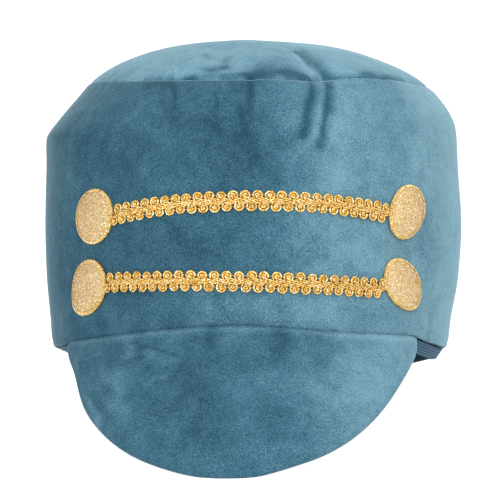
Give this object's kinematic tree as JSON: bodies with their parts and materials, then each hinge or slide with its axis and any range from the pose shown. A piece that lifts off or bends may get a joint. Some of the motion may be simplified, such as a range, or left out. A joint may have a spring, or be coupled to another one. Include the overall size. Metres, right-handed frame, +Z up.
{
  "type": "ringmaster hat",
  "caption": "Soft velvet ringmaster cap with a puffed top, a stiff drooping peak, gold loop braid that ends in glitter discs, and a ribbed elastic inside the back of the rim.",
  "frame": {"origin": "on the table, under the middle of the cap's box", "axes": "+Z up, -Y to the front, where the peak points, and +X to the right seen from the front"},
  "size_m": [0.1938, 0.2596, 0.168],
  "materials": {
    "velvet": "short velvet pile",
    "elastic": "ribbed elastic tape",
    "gold_braid": "shiny metallic thread",
    "gold_glitter": "fine glitter"
  },
  "bodies": {
    "root": {"crown_side": "velvet", "crown_top": "velvet", "peak": "velvet", "elastic_band": "elastic", "braid_upper": "gold_braid", "braid_lower": "gold_braid", "disc_upper_left": "gold_glitter", "disc_upper_right": "gold_glitter", "disc_lower_left": "gold_glitter", "disc_lower_right": "gold_glitter"}
  },
  "joints": []
}
